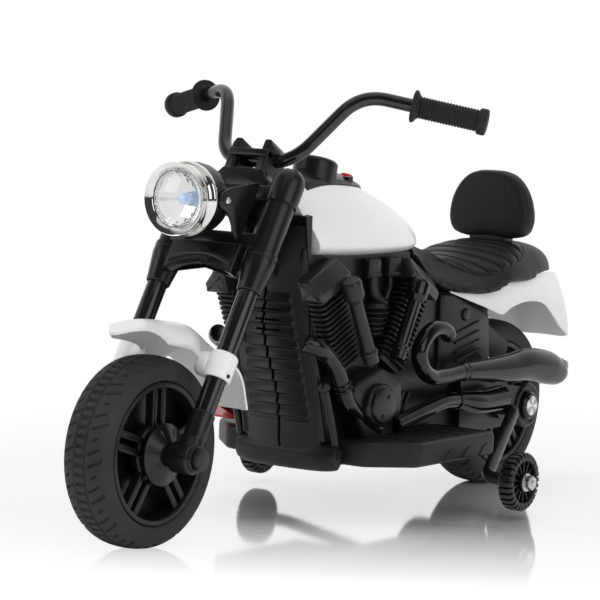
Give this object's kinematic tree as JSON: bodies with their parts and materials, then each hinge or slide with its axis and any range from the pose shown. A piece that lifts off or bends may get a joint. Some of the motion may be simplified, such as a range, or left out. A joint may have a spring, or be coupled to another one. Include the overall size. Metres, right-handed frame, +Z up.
{
  "type": "kids electric motorbike",
  "caption": "Battery-driven chopper-style ride-on motorbike for a small child, with swept bars, raked fork, long padded seat with backrest and side training wheels.",
  "frame": {"origin": "centre of the bounding box at ground level", "axes": "+X to the rider's left, +Y to the rear, +Z up"},
  "size_m": [0.4404, 0.926, 0.4894],
  "materials": {
    "white_shell": "gloss",
    "black_shell": "satin",
    "black_gloss": "gloss",
    "black_rim": "satin",
    "tyre_black": "satin",
    "grip_rubber": "matte",
    "seat_leather": "satin",
    "bar_black": "gloss",
    "chrome_plate": "mirror polish",
    "clear_lens": "gloss",
    "lamp_white": "satin",
    "zinc_steel": "brushed",
    "red_control": "gloss",
    "gear_nylon": "satin",
    "battery_grey": "matte"
  },
  "bodies": {
    "chassis": {"tank": "white_shell", "rear_fender": "white_shell", "body_shell_left": "black_shell", "body_shell_right": "black_shell", "rear_axle_rings": "black_shell", "footboard_left": "black_shell", "footboard_right": "black_shell", "dash": "black_shell", "engine_trim": "black_shell", "gear_case": "black_shell", "training_collars": "black_shell", "backrest_post": "black_shell", "charging_inlet": "black_shell", "body_bolts": "black_shell", "exhausts": "black_gloss", "pushrod_tubes": "black_gloss", "rocker_covers": "black_gloss", "barrels": "black_gloss", "crankcases": "black_gloss", "seat": "seat_leather", "backrest": "seat_leather", "rear_axle_discs": "chrome_plate", "training_bolts": "zinc_steel", "rear_axle": "zinc_steel", "steering_head": "zinc_steel", "training_arms": "zinc_steel", "motor": "zinc_steel", "battery": "battery_grey"},
    "steering": {"steering_stem": "zinc_steel", "lower_yoke": "black_shell", "upper_yoke": "black_shell", "fork_covers": "black_gloss", "fork_tubes": "bar_black", "fork_feet": "black_shell", "handlebar_clamp": "black_shell", "handlebar": "bar_black", "grips": "grip_rubber", "headlight_bezel": "chrome_plate", "headlight_lens": "clear_lens", "headlight_reflector": "chrome_plate", "headlight_bulb": "lamp_white", "headlight_bucket": "black_shell", "headlight_brackets": "black_shell", "headlight_screws": "zinc_steel", "front_fender": "white_shell", "front_axle": "zinc_steel", "front_axle_caps": "black_shell"},
    "front_wheel": {"front_tyre": "tyre_black", "front_rim": "black_rim", "front_hub_cones": "black_rim"},
    "rear_wheel": {"rear_tyre": "tyre_black", "rear_rim": "black_rim", "drive_gear": "gear_nylon"},
    "idler": {"idler_gear": "gear_nylon"},
    "motor_shaft": {"motor_pinion": "gear_nylon"},
    "left_training_wheel": {"training_wheel_left": "black_rim"},
    "right_training_wheel": {"training_wheel_right": "black_rim"},
    "pedal": {"foot_pedal": "red_control"},
    "button": {"power_button": "red_control"},
    "switch": {"direction_switch": "black_rim"}
  },
  "joints": [
    {"name": "steering_turn", "type": "hinge", "parent": "chassis", "child": "steering", "pos_m": [0, -0.18836, 0.32102], "axis": [0, 0.5, 0.866], "range_deg": [-30, 30]},
    {"name": "front_wheel_spin", "type": "hinge", "parent": "steering", "child": "front_wheel", "pos_m": [0, -0.361, 0.102], "axis": [1, 0, 0], "continuous": true},
    {"name": "rear_wheel_spin", "type": "hinge", "parent": "chassis", "child": "rear_wheel", "pos_m": [0, 0.326, 0.102], "axis": [1, 0, 0], "continuous": true},
    {"name": "idler_spin", "type": "hinge", "parent": "chassis", "child": "idler", "pos_m": [-0.039, 0.2588, 0.102], "axis": [1, 0, 0], "continuous": true},
    {"name": "motor_spin", "type": "hinge", "parent": "chassis", "child": "motor_shaft", "pos_m": [-0.039, 0.1958, 0.102], "axis": [1, 0, 0], "continuous": true},
    {"name": "left_training_spin", "type": "hinge", "parent": "chassis", "child": "left_training_wheel", "pos_m": [0.184, 0.108, 0.044], "axis": [1, 0, 0], "continuous": true},
    {"name": "right_training_spin", "type": "hinge", "parent": "chassis", "child": "right_training_wheel", "pos_m": [-0.184, 0.108, 0.044], "axis": [1, 0, 0], "continuous": true},
    {"name": "pedal_press", "type": "hinge", "parent": "chassis", "child": "pedal", "pos_m": [-0.112, -0.058, 0.104], "axis": [1, 0, 0], "range_deg": [0, 12], "stiffness_Nm_per_rad": 0.8, "springref_deg": -5.73},
    {"name": "button_press", "type": "slide", "parent": "chassis", "child": "button", "axis": [0, 0.3256, 0.9455], "range_m": [-0.0025, 0], "stiffness_N_per_m": 400, "springref_m": 0.001},
    {"name": "switch_rock", "type": "hinge", "parent": "chassis", "child": "switch", "pos_m": [0.016, -0.02, 0.38546], "axis": [1, 0, 0], "range_deg": [-15, 15]}
  ],
  "couplings": [
    {"joint": "idler_spin", "follows": "rear_wheel_spin", "ratio": -3.5714},
    {"joint": "motor_spin", "follows": "rear_wheel_spin", "ratio": 14.286}
  ]
}
